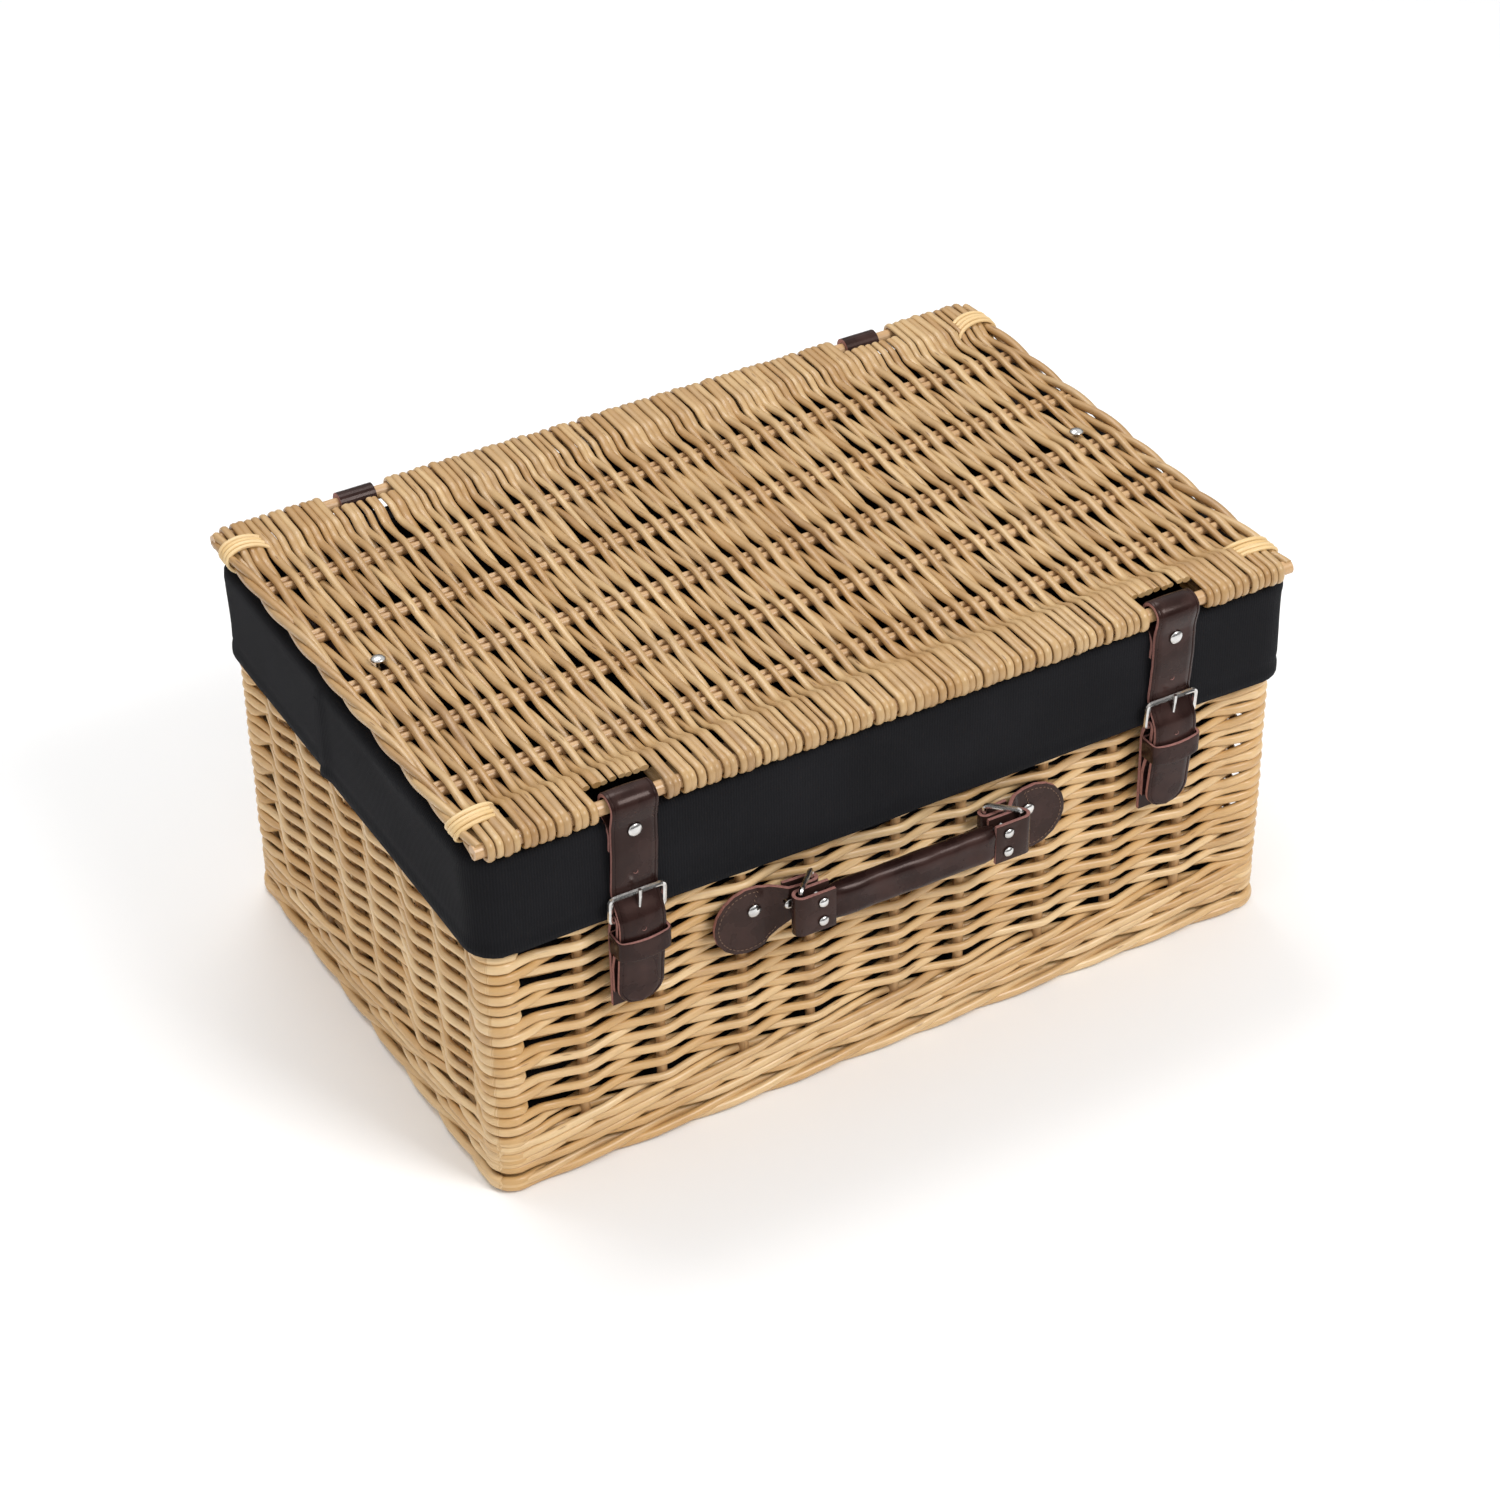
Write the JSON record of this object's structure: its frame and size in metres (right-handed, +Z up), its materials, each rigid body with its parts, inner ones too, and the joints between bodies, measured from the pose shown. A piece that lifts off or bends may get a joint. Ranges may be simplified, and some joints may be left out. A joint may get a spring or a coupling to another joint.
{
  "type": "lidded wicker hamper",
  "caption": "Rectangular woven willow hamper with a cotton liner, a leather-hinged lid, buckled closure straps and a leather carrying handle.",
  "frame": {"origin": "middle of the underside, on the surface that the hamper stands on", "axes": "+X to the right along the hamper's length, -Y out of the front with the straps and the handle, +Z up"},
  "size_m": [0.51, 0.3658, 0.2496],
  "materials": {
    "willow": "buff willow, lightly varnished",
    "peeled_stick": "peeled stick, satin",
    "black_cotton": "matt cotton twill",
    "brown_leather": "semi-gloss, with raw red-brown cut edges",
    "bright_nickel": "polished"
  },
  "bodies": {
    "basket": {"base_panel": "willow", "foot_border": "willow", "rim_border": "willow", "wall_front": "willow", "wall_right": "willow", "wall_back": "willow", "wall_left": "willow", "corner_post_front_left": "willow", "corner_post_front_right": "willow", "corner_post_back_left": "willow", "corner_post_back_right": "willow", "liner_bag": "black_cotton", "cuff_front": "black_cotton", "cuff_back": "black_cotton", "hinge_strap_left": "brown_leather", "hinge_rivet_left": "bright_nickel", "buckle_tab_left": "brown_leather", "buckle_tab_rivet_left": "bright_nickel", "keeper_left": "brown_leather", "handle_patch_left": "brown_leather", "patch_rivet_outer_left": "bright_nickel", "patch_rivet_neck_left": "bright_nickel", "stay_wall_rivet_left": "bright_nickel", "lid_stay_left": "brown_leather", "hinge_strap_right": "brown_leather", "hinge_rivet_right": "bright_nickel", "buckle_tab_right": "brown_leather", "buckle_tab_rivet_right": "bright_nickel", "keeper_right": "brown_leather", "handle_patch_right": "brown_leather", "patch_rivet_outer_right": "bright_nickel", "patch_rivet_neck_right": "bright_nickel", "stay_wall_rivet_right": "bright_nickel", "lid_stay_right": "brown_leather"},
    "lid": {"lid_panel": "willow", "lid_front_stick": "peeled_stick", "lid_back_stick": "peeled_stick", "lid_lashing_front_left": "willow", "lid_lashing_front_right": "willow", "lid_lashing_back_left": "willow", "lid_lashing_back_right": "willow", "stay_lid_rivet_left": "bright_nickel", "stay_lid_rivet_right": "bright_nickel"},
    "handle": {"handle_grip": "brown_leather", "handle_ring_left": "bright_nickel", "handle_end_tab_left": "brown_leather", "handle_rivet_upper_left": "bright_nickel", "handle_rivet_lower_left": "bright_nickel", "handle_ring_right": "bright_nickel", "handle_end_tab_right": "brown_leather", "handle_rivet_upper_right": "bright_nickel", "handle_rivet_lower_right": "bright_nickel"},
    "strap_left": {"closure_strap_left": "brown_leather", "closure_rivet_left": "bright_nickel"},
    "buckle_left": {"buckle_frame_left": "bright_nickel"},
    "prong_left": {"buckle_prong_left": "bright_nickel"},
    "strap_right": {"closure_strap_right": "brown_leather", "closure_rivet_right": "bright_nickel"},
    "buckle_right": {"buckle_frame_right": "bright_nickel"},
    "prong_right": {"buckle_prong_right": "bright_nickel"}
  },
  "joints": [
    {"name": "lid_hinge", "type": "hinge", "parent": "basket", "child": "lid", "pos_m": [0, 0.165, 0.2415], "axis": [-1, 0, 0], "range_deg": [0, 100], "deforming": ["lid_stay_left", "lid_stay_right", "closure_strap_left", "closure_strap_right"]},
    {"name": "strap_left_swing", "type": "hinge", "parent": "lid", "child": "strap_left", "pos_m": [-0.164, -0.165, 0.2415], "axis": [-1, 0, 0], "range_deg": [0, 170], "deforming": ["closure_strap_left"]},
    {"name": "buckle_left_pivot", "type": "hinge", "parent": "basket", "child": "buckle_left", "pos_m": [-0.164, -0.1705, 0.17], "axis": [1, 0, 0], "range_deg": [0, 60], "deforming": ["closure_strap_left"]},
    {"name": "prong_left_pivot", "type": "hinge", "parent": "buckle_left", "child": "prong_left", "pos_m": [-0.164, -0.1705, 0.17], "axis": [1, 0, 0], "range_deg": [0, 35], "deforming": ["closure_strap_left"]},
    {"name": "strap_right_swing", "type": "hinge", "parent": "lid", "child": "strap_right", "pos_m": [0.172, -0.165, 0.2415], "axis": [-1, 0, 0], "range_deg": [0, 170], "deforming": ["closure_strap_right"]},
    {"name": "buckle_right_pivot", "type": "hinge", "parent": "basket", "child": "buckle_right", "pos_m": [0.172, -0.1705, 0.17], "axis": [1, 0, 0], "range_deg": [0, 60], "deforming": ["closure_strap_right"]},
    {"name": "prong_right_pivot", "type": "hinge", "parent": "buckle_right", "child": "prong_right", "pos_m": [0.172, -0.1705, 0.17], "axis": [1, 0, 0], "range_deg": [0, 35], "deforming": ["closure_strap_right"]},
    {"name": "handle_lift", "type": "hinge", "parent": "basket", "child": "handle", "pos_m": [-0.004, -0.1705, 0.143], "axis": [-1, 0, 0], "range_deg": [0, 25], "deforming": ["handle_patch_left", "handle_patch_right"]}
  ]
}
